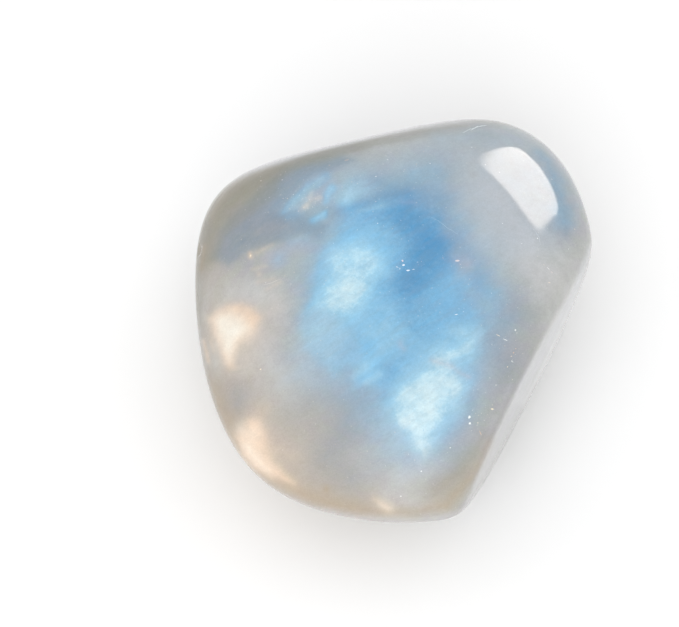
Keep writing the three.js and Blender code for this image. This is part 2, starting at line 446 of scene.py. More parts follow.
# The body is milky grey, paler and darker in broad patches, with a cool haze over the upper
# right, slate and olive at the upper left, and tan towards the foot. The paler patches round the
# far shoulder are painted glare beside the softbox's highlight.
PALE = [
    ([
        (4.6, 12.0), (5.2, 9.0), (6.8, 6.0), (8.6, 4.8), (10.0, 3.4), (10.6, 2.2), (12.6, 2.6),
        (13.4, 4.6), (11.8, 5.0), (10.4, 6.2), (9.8, 8.0), (8.6, 11.8), (6.6, 12.4),
    ], 0.6, 0.75),
    ([(6.8, 8.6, 1.0), (8.6, 5.6, 1.4), (10.8, 3.2, 1.1), (10.6, 0.9, 0.5)], 0.6, 0.85),
    ([(6.4, 11.2, 0.5), (7.4, 12.0, 0.5)], 0.5, 0.85),
    ([(-4.2, 11.6, 0.2), (0.0, 12.6, 0.3), (4.4, 13.2, 0.3)], 0.3, 0.5),
    ([(8.2, 8.4, 0.6), (8.4, 6.0, 0.8), (12.4, 5.6, 0.4)], 0.6, 0.5),
    ([(-11.4, 1.7, 0.6), (-9.5, 1.7, 1.1), (-8.2, 1.0, 0.8)], 0.6, 0.72),
    ([(-9.5, -3.0, 0.9), (-7.6, -4.3, 1.2), (-6.4, -3.8, 0.8)], 0.8, 0.6),
    ([(-9.0, -1.4, 1.0)], 0.8, 0.4),
    ([(-13.7, 2.2, 0.25), (-13.4, -0.8, 0.3), (-12.6, -3.2, 0.6)], 0.35, 0.8),
    ([(0.7, -11.4, 0.6), (2.3, -10.5, 0.4)], 0.6, 0.65),
    ([(-4.0, 11.0, 0.2), (-2.6, 10.2, 0.4)], 0.5, 0.4),
    ([(-7.4, 11.0, 0.1), (-4.6, 11.7, 0.15)], 0.25, 0.4),
    ([(0.2, 11.6, 0.6), (4.0, 12.8, 0.6)], 0.6, 0.4),
    ([(0.4, -8.4, 0.5)], 0.5, 0.5),
    ([(0.4, -13.0, 0.3), (3.6, -12.6, 0.3)], 0.4, 0.5),
]
HAZE = [
    ([
        (3.4, 9.2), (5.4, 6.6), (7.0, 4.4), (8.4, 4.3), (9.8, 6.2), (12.2, 6.8), (13.0, 8.4),
        (11.4, 11.0), (8.9, 13.2), (6.0, 13.8), (2.5, 13.1), (-1.0, 12.1), (-4.0, 11.2), (-3.0, 10.4),
        (0.0, 10.6), (2.4, 11.0),
    ], 0.6, 0.62),
    ([(-4.6, -4.6, 0.6), (-2.8, -6.0, 0.6)], 0.7, 0.22),
    ([(-5.8, 4.6, 0.4), (-6.6, 3.0, 0.3)], 0.7, 0.3),
    ([(-7.0, -4.2, 1.2)], 0.9, 0.3),
    ([(-1.4, -9.6, 0.8)], 0.8, 0.35),
    ([(4.4, -10.2, 0.7)], 0.7, 0.35),
    ([(8.8, 1.2, 0.6), (7.2, -2.6, 0.6)], 0.8, 0.4),
]
DUSK = [
    ([
        (-12.8, 4.2), (-12.4, 6.2), (-11.2, 7.6), (-10.0, 8.8), (-9.0, 9.8), (-7.8, 10.6), (-6.4, 10.9),
        (-3.9, 11.5), (-2.8, 11.3), (-4.4, 10.5), (-5.6, 10.1), (-6.6, 9.4), (-7.4, 8.5), (-7.8, 7.6),
        (-6.6, 7.5), (-5.4, 7.0), (-4.6, 6.6), (-5.2, 5.9), (-6.6, 6.1), (-7.6, 5.6), (-9.4, 5.0),
        (-10.6, 4.5), (-11.6, 3.6),
    ], 0.14, 0.72),
    ([(-10.4, 4.2, 0.4), (-9.6, 3.0, 0.3)], 0.5, 0.35),
    ([(-10.9, 5.6, 0.4), (-8.6, 6.6, 0.6), (-7.0, 7.3, 0.3)], 0.4, 0.5),
    ([(-8.4, 7.0, 0.4), (-6.2, 7.3, 0.35), (-4.6, 7.9, 0.3)], 0.25, 0.3),
    ([(-5.4, 5.9, 0.5), (-4.6, 6.9, 0.3)], 0.35, 0.35),
    ([(-3.8, 7.4, 0.25), (-1.6, 8.3, 0.25), (0.8, 9.3, 0.45)], 0.3, 0.45),
    ([(2.2, 10.9, 0.5), (3.6, 10.6, 0.5)], 0.5, 0.3),
    ([(-1.4, 9.7, 0.5), (0.2, 9.2, 0.6), (2.9, 8.8, 0.6)], 0.5, 0.75),
    ([(5.8, -5.6, 0.4), (4.9, -8.0, 0.6), (4.6, -10.0, 0.5)], 0.5, 0.35),
    ([(8.6, 0.8, 0.7), (7.2, -1.0, 0.6), (8.0, -3.2, 0.7)], 0.6, 0.55),
    ([(-10.7, -5.7, 0.6), (-10.7, -6.9, 0.4)], 0.5, 0.5),
    ([(10.0, 12.2, 0.1), (11.2, 10.3, 0.3), (12.0, 8.2, 0.3), (12.2, 6.4, 0.2)], 0.3, 0.65),
    ([(-2.3, -5.6, 0.8), (-3.0, -7.6, 1.1), (-4.6, -9.6, 1.0), (-2.6, -11.0, 0.5)], 0.8, 0.56),
    ([(-4.2, -5.2, 0.6), (-7.0, -6.8, 0.8)], 0.8, 0.25),
]
# The outer rim of both olive patches.
OLIVE_RIM = [(-13.6, 3.4), (-13.6, 6.0), (-12.9, 8.0), (-11.8, 9.5), (-10.4, 10.4), (-8.6, 10.7)]
OLIVE = [
    (OLIVE_RIM + [
        (-6.4, 11.2), (-2.6, 12.1), (-6.3, 11.0), (-7.8, 10.5), (-8.8, 9.9), (-9.6, 9.2), (-10.4, 8.5),
        (-11.4, 7.6), (-12.5, 6.4), (-13.0, 4.0),
    ], 0.3, 0.6),
    (OLIVE_RIM + [
        (-6.4, 11.3), (-1.8, 12.3), (-5.0, 11.2), (-6.3, 10.8), (-7.6, 10.3), (-8.2, 9.6), (-8.5, 8.7),
        (-9.1, 8.0), (-10.0, 7.25), (-10.8, 6.6), (-12.0, 5.7), (-12.4, 4.0),
    ], 0.1, 0.34),
    ([(-10.6, 9.3, 0.4), (-9.0, 10.2, 0.2)], 0.3, 0.15),
    ([(-12.6, 7.6, 0.1), (-11.3, 9.4, 0.2), (-9.8, 10.3, 0.1)], 0.3, 0.4),
    ([(-9.0, 10.6, 0.05), (-3.4, 12.1, 0.1), (2.2, 13.2, 0.05)], 0.1, 0.35),
    ([(12.6, 4.8, 0.2), (11.4, 2.0, 0.3), (10.2, 0.2, 0.3), (8.6, -3.2, 0.3), (6.8, -7.0, 0.3)], 0.3, 0.14),
    ([
        (13.4, 5.2, 0.05), (12.2, 2.0, 0.08), (11.1, 0.0, 0.1), (9.1, -3.6, 0.1), (7.7, -6.9, 0.1),
        (6.5, -9.2, 0.08),
    ], 0.08, 0.16),
    ([(6.6, -8.0, 0.2), (5.0, -10.6, 0.5), (3.2, -11.8, 0.5)], 0.35, 0.5),
]
# Tan round the lower left and along the foot, and up the upper left rim.
TAN = [
    ([
        (-13.0, -3.8, 0.05), (-12.1, -6.2, 0.45), (-11.2, -8.2, 0.6), (-10.1, -9.8, 0.4),
        (-8.0, -11.5, 0.3), (-5.1, -12.6, 0.45), (-2.0, -13.2, 0.4), (1.5, -13.5, 0.2),
        (4.2, -12.8, 0.45), (5.9, -10.9, 0.35), (7.2, -8.6, 0.15),
    ], 0.28, 0.62),
    ([(3.6, -11.8, 0.5), (5.2, -10.4, 0.4)], 0.5, 0.3),
    ([(-12.9, 7.2, 0.15), (-11.9, 9.2, 0.3), (-10.4, 10.4, 0.2), (-9.0, 10.8, 0.1)], 0.22, 0.3),
    ([(-13.5, 4.9, 0.12), (-13.5, 3.4, 0.1)], 0.15, 0.6),
    ([(-4.3, -11.8, 0.12)], 0.14, 0.7),
    ([(-13.4, -1.2, 0.1), (-13.2, -3.0, 0.1)], 0.3, 0.35),
    ([(-10.9, -7.1, 0.3)], 0.4, 0.35),
]
# The right wall, paler than the face beside it: painted reflection of the bright room, which it mirrors at
# a grazing angle.
WALL_GLARE = [
    ([
        (13.6, 5.3), (12.3, 1.9), (11.2, 0.0), (9.2, -3.7), (7.8, -7.0), (6.6, -9.2), (5.4, -11.8),
        (5.5, -13.4), (7.2, -12.0), (10.8, -6.0), (14.4, 0.5), (14.8, 6.0),
    ], 0.1, 0.25),
]
# Faint rosy clouds; and a painted reflection on the middle of the right wall, where it shines almost white.
BLUSH = [
    ([(2.9, -2.6, 0.06), (4.2, -3.1, 0.14), (5.5, -3.8, 0.1)], 0.1, 0.4),
    ([(0.7, -1.5, 0.14), (0.9, -1.9, 0.08)], 0.12, 0.3),
    ([(0.4, 8.4, 0.08), (1.4, 8.4, 0.05)], 0.12, 0.2),
    ([(4.4, 4.4, 0.2), (5.2, 4.1, 0.2)], 0.3, 0.35),
    ([(1.3, -9.3, 0.1)], 0.1, 0.4),
]
SHINE = [
    ([(9.4, -5.4, 0.05), (11.4, -2.1, 0.35), (12.6, 0.3, 0.45), (13.5, 2.4, 0.1)], 0.3, 0.8),
]
# Pale bands of painted light: reflection where the stone's edge turns over on the right wall and
# down the left, light that lifts the shade round the foot, and glare on the face beside the far
# shoulder.
EDGE_GLARE = [
    ([
        (13.9, 5.8, 0.1), (12.8, 2.2, 0.25), (11.7, 0.0, 0.3), (9.8, -3.5, 0.34), (8.4, -6.8, 0.32),
        (7.2, -9.3, 0.26), (6.1, -11.5, 0.12),
    ], 0.08, 0.42),
    ([(6.8, 9.4, 0.2), (8.3, 7.6, 0.4), (9.4, 6.0, 0.4)], 0.5, 0.62),
    ([(-13.6, -1.0, 0.1), (-13.1, -4.4, 0.12), (-12.2, -7.4, 0.1)], 0.15, 0.4),
    ([
        (-10.6, -10.4, 0.05), (-9.0, -11.8, 0.12), (-6.0, -13.2, 0.2), (-2.0, -14.0, 0.25),
        (2.0, -14.2, 0.25), (4.5, -13.6, 0.1),
    ], 0.15, 0.5),
]

# How far above the heart the pebble is looked at from, in millimetres. The veils are laid out
# as they appear from there, over the level of the heart.
LOOK_FROM = 266

# The layers' fibres run to the upper right. Distances along them and into the stone count only
# for a share, which draws the fibres out that way.
FIBRE_TURN = math.radians(36)
FIBRE = np.array([math.cos(FIBRE_TURN), math.sin(FIBRE_TURN)])
ASIDE = np.array([-FIBRE[1], FIBRE[0]])
LENGTHWISE = 0.25
INWARDS = 0.4

# The spacing of the hills that make the veils drift, and of those that feather them along the
# fibres, in millimetres.
DRIFT_SPACING = 3.0
FEATHER_SPACING = 0.8

place = stone_axes(points)
facing = normals @ OUT
level = place[:, :2] * LOOK_FROM / (LOOK_FROM - place[:, 2:])
fibres = np.stack([level @ FIBRE * LENGTHWISE, level @ ASIDE, place[:, 2] * INWARDS], 1)
drift = np.stack([clouds(place, DRIFT_SPACING, seed, 3) for seed in (11, 12)], 1)
feather = clouds(fibres, FEATHER_SPACING, 21, 3)[:, None] * FIBRE

# Where on the stone the paints lie, by the way its skin faces: the crown, the crown with its
# sides, the girdle round them, and the slant at the back.
crown = smooth(facing, -0.15, 0.45)
side = smooth(facing, -0.6, 0.1)
girdle = smooth(facing, 0.72, 0.14) * smooth(facing + 0.5 * clouds(place, 6.0, 41, 3), -1.1, -0.5)
back = smooth(normals[:, 1], -0.3, 0.5) * smooth(normals[:, 0], 0.25, -0.15)
back *= smooth(normals[:, 0] + 0.1 * drift[:, 1], -0.8, -0.35)

# Each veiled paint: its veils, how many millimetres they drift and are feathered, and where
# they lie.
VEILED = {
    "blue": (BLUE, 0.28, 0.45, crown),
    "deep": (DEEP, 0.28, 0.45, crown),
    "gleam": (GLEAM, 0.28, 0.45, crown),
    "painted_peach_glow": (PEACH_GLOW, 0.10, 0.10, side),
    "painted_cream_glow": (CREAM_GLOW, 0.10, 0.10, side),
    "pale": (PALE, 0.28, 0.45, side),
    "wall": (WALL_GLARE, 0.05, 0, side),
    "shine": (SHINE, 0.05, 0, side),
    "blush": (BLUSH, 0.15, 0.15, side),
    "haze": (HAZE, 0.28, 0.45, side),
    "dusk": (DUSK, 0.18, 0.20, side),
    "olive": (OLIVE, 0.12, 0.12, side),
    "edge": (EDGE_GLARE, 0.03, 0, side),
    "tan": (TAN, 0.20, 0, side),
}
paint = {
    name: veils(level + drifting * drift + feathering * feather, rows) * where
    for name, (rows, drifting, feathering, where) in VEILED.items()
}

# Three more follow the stone's own form: a painted reflection on the back slant, where it turns
# edge-on, the body's warmth towards the lower left, and painted shade that dulls the rim on the
# girdle towards the upper left.
paint["back"] = smooth(facing + 0.08 * drift[:, 0], 0.42, 0.14) * back
paint["warm"] = smooth(level @ (-0.75, -0.66) + 0.8 * drift[:, 0], 3.5, 11.5)
# Painted shade: the rim is darker on the girdle towards the upper left, which dulls its reflection there.
paint["rim_shade"] = girdle * smooth(normals @ (ALONG - ACROSS), 0.3, 1.2)


def mesh_of(name, points, faces):
    """A mesh of some points in metres, and of faces that name them by number."""
    mesh = bpy.data.meshes.new(name)
    mesh.from_pydata(points.tolist(), [], faces)
    return mesh


def carry(mesh, name, values):
    """Stores a number or a colour for each point of a mesh."""
    kind, field = ("FLOAT", "value") if values.ndim == 1 else ("FLOAT_COLOR", "color")
    layer = mesh.attributes.new(name, kind, "POINT")
    layer.data.foreach_set(field, values.astype(np.float32).ravel())


def placed(name, data):
    """A new object in the scene, from its mesh, light or camera."""
    thing = bpy.data.objects.new(name, data)
    bpy.context.scene.collection.objects.link(thing)
    return thing


pebble_mesh = mesh_of("polished_pebble", points, quads.tolist())
pebble_mesh.shade_smooth()
for name, values in paint.items():
    carry(pebble_mesh, name, values)


def colour(code):
    """Linear red, green, blue and alpha of a screen colour written as six hex digits."""
    parts = np.array([int(code[k : k + 2], 16) / 255 for k in (0, 2, 4)])
    linear = np.where(parts > 0.04045, ((parts + 0.055) / 1.055) ** 2.4, parts / 12.92)
    return (*linear.tolist(), 1.0)


SAGE = "B3B6AF"
MAUVE = "B5B3B6"
PEARL = "D2D2D1"
COOL_HAZE = "AFBECB"
SLATE = "8392A0"
OLIVE_GREY = "8F8A74"
BEIGE = "C0AF9A"
RIM_SHADE_GREY = "7E7967"
GLARE_WHITE = "CDCFD6"
RIM_TAN = "B09A7C"
WALL_GLARE_WHITE = "FFFFFF"
ROSY = "CDBFC8"
DEEP_BLUE = "168CC6"
SKY = "78BEE8"
ICE = "B2E3F8"
WHITE_ICE = "DDF5FC"
GLOW_PEACH = "F2D6BC"
PAINTED_LIGHT_CREAM = "FFF6E8"
FELDSPAR_IOR = 1.53

# How far the finest grain stands out of the polish, in millimetres.
GRAIN_RISE = 0.0012

stone = bpy.data.materials.new("polished_moonstone")
stone.use_nodes = True
nodes, links = stone.node_tree.nodes, stone.node_tree.links
nodes.clear()
output = nodes.new("ShaderNodeOutputMaterial")
surface = nodes.new("ShaderNodeBsdfPrincipled")
links.new(surface.outputs["BSDF"], output.inputs["Surface"])


def feed(socket, value):
    """Links a node's result to a socket, or sets the socket to a number or a named colour."""
    if isinstance(value, bpy.types.NodeSocket):
        links.new(value, socket)
    else:
        socket.default_value = colour(value) if isinstance(value, str) else value


def made(kind, result, fed, **settings):
    """One named result of a new node that has its sockets fed and its settings set."""
    node = nodes.new("ShaderNode" + kind)
    for name, setting in settings.items():
        setattr(node, name, setting)
    for socket, value in fed.items():
        feed(node.inputs[socket], value)
    return node.outputs[result]


def worked(operation, *values):
    """The result of one step of arithmetic on some values."""
    return made("Math", "Value", dict(enumerate(values)), operation=operation)


def painted(name):
    """The value of one of the pebble's painted attributes."""
    return made("Attribute", "Fac", {}, attribute_name=name)


def product(a, b):
    """Two values multiplied."""
    return worked("MULTIPLY", a, b)


def add(a, b):
    """Two values added."""
    return worked("ADD", a, b)


def raised(value, ripple, strength):
    """A value plus a share of a noise around zero."""
    return worked("MULTIPLY_ADD", ripple, strength, value)


def ruffled(value, ripple, strength):
    """A value made larger and smaller by a noise around zero, which leaves 0 as it is."""
    return product(value, raised(1.0, ripple, strength))


def brightened(shade, share):
    """A colour made brighter by a share of itself, or darker where the share is below zero."""
    return made("VectorMath", "Vector", {0: shade, "Scale": add(share, 1.0)}, operation="SCALE")


def eased(value, start, end):
    """0 up to start, 1 from end, and a smooth rise between."""
    fed = {"Value": value, "From Min": start, "From Max": end}
    return made("MapRange", "Result", fed, interpolation_type="SMOOTHSTEP")


def blend(share, under, over):
    """Two colours mixed: under where the share is 0, over where it is 1."""
    return made("Mix", "Result", {"Factor": share, "A": under, "B": over}, data_type="RGBA")


def mapped(vector, scale=(1, 1, 1), turn=(0, 0, 0)):
    """A vector scaled, and then turned by radians about X, Y and Z."""
    return made("Mapping", "Vector", {"Vector": vector, "Rotation": turn, "Scale": scale})


def noise(vector, scale, detail, roughness, curl=0.0):
    """A cloud noise centred on zero, from about -0.3 to 0.3, and curled like smoke."""
    fed = {"Vector": vector, "Scale": scale, "Detail": detail, "Roughness": roughness}
    return worked("SUBTRACT", made("TexNoise", "Fac", {**fed, "Distortion": curl}), 0.5)


def scattered(vector, scale):
    """The distance to the nearest of many points scattered one to a cell."""
    return made("TexVoronoi", "Distance", {"Vector": vector, "Scale": scale})


def bumped(height, rise):
    """A normal for fine relief, where a height of 1 stands out by the rise in metres."""
    return made("Bump", "Normal", {"Height": height, "Distance": rise})


# Object coordinates brought to the stone's own directions, in millimetres, and once more with
# the direction of its fibres along X.
position = nodes.new("ShaderNodeTexCoord").outputs["Object"]
layers = mapped(position, (1 / MM, 1 / MM, 1 / MM), (LAYER_TILT - math.pi / 2, 0, 0))
along_fibres = mapped(mapped(layers, turn=(0, 0, -FIBRE_TURN)), (LENGTHWISE, 1, 0.5))

cotton = noise(layers, 0.9, 5, 0.5)
strands = noise(along_fibres, 2.4, 5, 0.6)
hairs = noise(along_fibres, 7.0, 3, 0.6)
mottle = noise(layers, 3.4, 4, 0.6)
grain = noise(layers, 10.0, 3, 0.6)
specks = scattered(layers, 1.5)
smoke = noise(mapped(layers, (0.6, 1, 0.8), (0, 0, 0.6)), 0.5, 5, 0.6, 1.2)

# The painted sheen is sky blue, deep blue in the cloud's middle, and gleams through ice to near white.
gleam = raised(raised(painted("gleam"), cotton, 0.4), add(product(strands, 0.6), mottle), 0.25)
sheen = blend(raised(painted("deep"), cotton, 0.25), SKY, DEEP_BLUE)
sheen = blend(gleam, sheen, ICE)
sheen = blend(eased(gleam, 0.62, 1.1), sheen, WHITE_ICE)

# The coats over the milky body, from the lowest up: the paint, its strength, the noise that
# ruffles it and by how much, and its colour.
COATS = [
    ("warm", 0.6, cotton, 0.0, BEIGE),
    ("pale", 1.0, cotton, 0.9, PEARL),
    # The wall and shine coats are painted reflection on the right wall.
    ("wall", 1.0, cotton, 0.0, PEARL),
    ("shine", 1.0, cotton, 0.0, WALL_GLARE_WHITE),
    ("haze", 1.0, cotton, 0.9, COOL_HAZE),
    ("dusk", 1.0, strands, 0.9, SLATE),
    ("olive", 1.0, strands, 0.8, OLIVE_GREY),
    # Painted shade darkening the upper left rim.
    ("rim_shade", 0.95, cotton, 0.0, RIM_SHADE_GREY),
    ("tan", 1.0, cotton, 0.7, RIM_TAN),
    # Painted light: pale bands of reflection at the edges, and on the back slant.
    ("edge", 1.0, strands, 0.9, GLARE_WHITE),
    ("back", 0.72, cotton, 0.5, GLARE_WHITE),
    ("blue", 1.0, strands, 0.45, sheen),
    ("blush", 1.0, cotton, 0.9, ROSY),
    # The last two coats are painted glows: light that has passed through the stone.
    ("painted_peach_glow", 1.0, cotton, 0.6, GLOW_PEACH),
    ("painted_cream_glow", 1.0, cotton, 0.6, PAINTED_LIGHT_CREAM),
]
tone = blend(eased(smoke, -0.12, 0.12), SAGE, MAUVE)
for name, strength, ripple, ruffle, cover in COATS:
    tone = blend(ruffled(product(painted(name), strength), ripple, ruffle), tone, cover)
# Tiny cream specks scattered over the stone: painted sparkle.
tone = blend(product(eased(specks, 0.1, 0.03), 0.22), tone, PAINTED_LIGHT_CREAM)

# How strongly each noise brightens and darkens the whole.
RELIEF = [(grain, 0.27), (strands, 0.12), (cotton, 0.1), (hairs, 0.09), (mottle, 0.14)]
relief = 0.0
for ripple, strength in RELIEF:
    relief = raised(relief, ripple, strength)
feed(surface.inputs["Base Color"], brightened(tone, relief))
feed(surface.inputs["Roughness"], raised(0.05, cotton, 0.03))
feed(surface.inputs["Normal"], bumped(grain, GRAIN_RISE * MM))
surface.inputs["IOR"].default_value = FELDSPAR_IOR
surface.inputs["Transmission Weight"].default_value = 0.25
surface.inputs["Subsurface Weight"].default_value = 0.25
surface.inputs["Subsurface Scale"].default_value = 0.5 * MM
surface.inputs["Subsurface Radius"].default_value = (1.0, 0.95, 0.9)
inside = nodes.new("ShaderNodeVolumeAbsorption")
inside.inputs["Color"].default_value = (0.80, 0.84, 0.86, 1)
inside.inputs["Density"].default_value = 25
links.new(inside.outputs["Volume"], output.inputs["Volume"])
pebble_mesh.materials.append(stone)

pebble = placed("polished_pebble", pebble_mesh)
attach(pebble, "root")
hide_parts("moonstone")

# ------------------------------------------------------------------------------
# The cleavage flecks: mirror-like flakes of feldspar that have parted along its cleavage. They
# are grown into the stone, and the polish has cut them open, so that they glint in its surface.
# Their pale tints are their own colour and, in part, a painted glint.

MILK = "F6F7F6"
STRAW = "F2DFC2"
ROSE = "EBD3CC"
AMBER = "DDB088"
SHADOW = "86A2B8"

# The larger flecks: millimetres across and along as they appear, length, width, turn in degrees
# and tint.
FLECKS = [
    (0.7, 4.0, 0.36, 0.2, 20, MILK),
    (1.02, 3.62, 0.44, 0.18, 5, MILK),
    (0.45, 3.72, 0.12, 0.08, 70, MILK),
    (0.62, 4.3, 0.3, 0.2, 110, ROSE),
    (1.4, 3.7, 0.34, 0.06, 10, MILK),
    (0.25, 3.85, 0.34, 0.06, 160, MILK),
    (-6.42, 7.9, 0.18, 0.06, 35, STRAW),
    (-6.05, 8.45, 0.16, 0.06, 60, ROSE),
    (-5.6, 8.52, 0.14, 0.05, 40, STRAW),
    (-6.8, 7.62, 0.14, 0.05, 40, ROSE),
    (-9.5, 9.7, 0.13, 0.1, 0, MILK),
    (-8.0, 9.8, 0.14, 0.09, 10, MILK),
    (-7.9, 8.5, 0.11, 0.08, 0, ROSE),
    (-7.6, 8.5, 0.11, 0.08, 0, STRAW),
    (-1.4, 10.2, 0.16, 0.08, 25, MILK),
    (-1.2, 6.9, 0.13, 0.09, 0, MILK),
    (-0.6, 11.4, 0.12, 0.08, 0, MILK),
    (-3.5, 11.3, 0.5, 0.06, 15, AMBER),
    (4.5, 4.4, 0.52, 0.22, 10, ROSE),
    (4.7, 4.15, 0.16, 0.07, 150, ROSE),
    (8.7, -0.4, 0.24, 0.18, 80, MILK),
    (8.6, -2.0, 0.2, 0.11, 70, AMBER),
    (8.45, -2.25, 0.16, 0.09, 20, STRAW),
    (8.5, -2.6, 0.22, 0.1, 100, MILK),
    (8.2, -3.0, 0.17, 0.09, 60, STRAW),
    (8.75, -1.7, 0.12, 0.08, 0, AMBER),
    (7.2, -6.0, 0.24, 0.2, 0, STRAW),
    (5.6, -6.6, 0.34, 0.28, 80, MILK),
    (5.65, -7.05, 0.3, 0.2, 60, MILK),
    (6.2, -7.0, 0.13, 0.11, 0, ROSE),
    (6.4, -7.7, 0.4, 0.06, 115, AMBER),
    (2.3, -10.5, 0.18, 0.13, 30, MILK),
    (0.9, -12.3, 0.16, 0.09, 10, MILK),
    (-9.2, -3.6, 0.22, 0.13, 20, STRAW),
    (4.3, -8.8, 0.16, 0.1, 40, MILK),
    (10.9, 4.0, 0.34, 0.07, 140, MILK),
    (11.15, 3.75, 0.26, 0.06, 150, ROSE),
    (10.6, 4.25, 0.18, 0.06, 130, STRAW),
    (11.0, 3.0, 0.3, 0.06, 10, STRAW),
    (7.6, 7.1, 0.14, 0.09, 0, MILK),
    (9.0, 5.7, 0.13, 0.08, 0, MILK),
    (10.1, 6.1, 0.22, 0.1, 60, MILK),
    (6.3, 11.2, 0.14, 0.09, 30, MILK),
    (7.3, 10.7, 0.12, 0.09, 0, MILK),
    (2.4, 11.2, 0.14, 0.08, 0, MILK),
    (5.3, 12.4, 0.14, 0.08, 0, MILK),
    (12.3, 5.4, 0.16, 0.07, 110, MILK),
    (12.7, 6.8, 0.16, 0.07, 110, STRAW),
    (11.0, 10.3, 0.16, 0.07, 120, MILK),
    (-10.1, 4.4, 0.28, 0.2, 80, STRAW),
    (4.5, 0.6, 0.36, 0.1, 15, MILK),
    (5.0, 0.8, 0.18, 0.05, 15, MILK),
    (7.5, -0.8, 0.5, 0.08, 155, STRAW),
    (8.0, -1.1, 0.5, 0.08, 155, MILK),
    (2.8, -5.6, 0.14, 0.08, 40, SHADOW),
    (2.4, -7.6, 0.2, 0.09, 60, SHADOW),
    (1.0, -8.2, 0.16, 0.08, 20, SHADOW),
]
# Where smaller flecks gather: the middle and the spread of each field, and their number.
FIELDS = [
    (8.2, 0.4, 0.9, 2.6, 50),
    (9.6, 8.0, 2.2, 2.8, 40),
    (-6.3, 8.4, 1.0, 0.6, 40),
    (1.2, 4.0, 0.7, 0.5, 14),
    (4.4, 3.6, 1.6, 1.6, 20),
    (6.2, -6.4, 0.8, 1.8, 35),
    (-9.4, 3.4, 1.6, 1.6, 16),
    (1.4, -11.0, 2.2, 1.4, 16),
    (0.0, 0.0, 8.5, 8.0, 40),
    (3.6, 1.2, 1.8, 1.6, 45),
    (0.5, 6.5, 2.5, 1.5, 30),
    (-7.5, 9.0, 2.0, 1.2, 60),
    (1.0, 10.8, 3.5, 1.0, 60),
]

# Corners round a fleck, the height of its faces as a share of its width, how far it is sunk as a
# share of that height, and how much of its tint shows: on a larger fleck, and at a rim.
FLECK_SIDES = 8
FLECK_RISE = 0.16
FLECK_SINK = 0.3
FLECK_STRENGTH = 0.85
RIM_STRENGTH = 0.35

# The outline of the stone as it appears, inside which the smaller flecks stay.
STONE_FACE = [
    (-13.4, 0.0), (-13.2, 4.6), (-11.6, 8.4), (-8.6, 10.6), (-1.0, 12.6), (6.0, 13.6), (9.6, 12.4),
    (12.6, 8.2), (13.2, 5.0), (11.0, 1.0), (7.4, -6.4), (4.8, -11.4), (0.6, -13.2), (-5.6, -12.4),
    (-9.6, -9.8), (-12.0, -5.4),
]

# The smaller flecks: their least length and width and how far these run on, their turn and its
# spread in degrees, the odds of their strength, and their tints.
STRAY_LENGTH = (0.04, 0.035)
STRAY_WIDTH = (0.035, 0.012)
STRAY_TURN = (36, 50)
STRAY_STRENGTH = (1.6, 2.4)
STRAY_TINTS = [MILK, MILK, MILK, STRAW, ROSE, AMBER]


def coated(shade, near, covers):
    """A colour under painted covers, each a named colour or shades, at some points of the mesh."""
    for name, cover in covers.items():
        cover = np.array(colour(cover)) if isinstance(cover, str) else cover
        shade = shade + paint[name][near, None] * (cover - shade)
    return shade


def on_stone(spots):
    """The stone's surface where it appears at some millimetres across and along.

    Each spot takes the nearest point of the mesh, and slides from it along the surface. Gives
    the places, the normals there, and the stone's colour there without its noise.
    """
    seen = np.flatnonzero(facing > 0.1)
    near = seen[[((level[seen] - spot) ** 2).sum(1).argmin() for spot in spots]]
    aside = (spots - level[near]) * (1 - place[near, 2:] / LOOK_FROM)
    slide = aside @ np.stack([ACROSS, ALONG])
    slide -= OUT * ((slide * normals[near]).sum(1) / (normals[near] @ OUT))[:, None]
    covers = {"pale": PEARL, "haze": COOL_HAZE, "dusk": SLATE, "olive": OLIVE_GREY}
    body = coated(np.array(colour(SAGE)), near, covers)
    sheen = coated(np.array(colour(SKY)), near, {"deep": DEEP_BLUE, "gleam": ICE})
    return points[near] + slide * MM, normals[near], coated(body, near, {"blue": sheen})


random = np.random.default_rng(31)
strays = np.concatenate([random.normal((a, b), (w, h), (n, 2)) for a, b, w, h, n in FIELDS])
strays = strays[patch_depth(strays, STONE_FACE) > 0]
count = len(strays)
across, along, long, wide, turn, tint = zip(*FLECKS)
spots = np.concatenate([np.stack([across, along], 1), strays])
lengths = np.concatenate([long, STRAY_LENGTH[0] + random.exponential(STRAY_LENGTH[1], count)])
widths = np.concatenate([wide, STRAY_WIDTH[0] + random.exponential(STRAY_WIDTH[1], count)])
turned = np.radians(np.concatenate([turn, random.normal(*STRAY_TURN, count)]))
stray_tints = random.choice(STRAY_TINTS, count).tolist()
tints = np.array([colour(code) for code in [*tint, *stray_tints]])
strength = np.full(len(FLECKS), FLECK_STRENGTH)
strength = np.concatenate([strength, random.beta(*STRAY_STRENGTH, count)])[:, None]

# A fleck is a flat lens. Its rim lies at turns round an oval whose radius wanders, and its two
# faces rise to a point over and under the middle. It fades into the stone towards its rim.
seat, up, shade = on_stone(spots)
tints = shade + strength * (tints - shade)
rim_tints = np.repeat((shade + RIM_STRENGTH * (tints - shade))[:, None], FLECK_SIDES, axis=1)
tints = np.concatenate([rim_tints, np.repeat(tints[:, None], 2, axis=1)], 1)
heading = np.cos(turned)[:, None] * ACROSS + np.sin(turned)[:, None] * ALONG
long_way = unit(heading - up * (heading * up).sum(1, keepdims=True))
short_way = np.cross(up, long_way)
turns = np.arange(FLECK_SIDES) * 2 * math.pi / FLECK_SIDES
wander = random.uniform(0.7, 1.1, (len(spots), FLECK_SIDES, 1)) * MM / 2
rim = wander * lengths[:, None, None] * np.cos(turns)[:, None] * long_way[:, None]
rim = rim + wander * widths[:, None, None] * np.sin(turns)[:, None] * short_way[:, None]
rise = (FLECK_RISE * widths * MM)[:, None] * up
lens = np.concatenate([rim, rise[:, None], -rise[:, None]], 1) + (seat - FLECK_SINK * rise)[:, None]
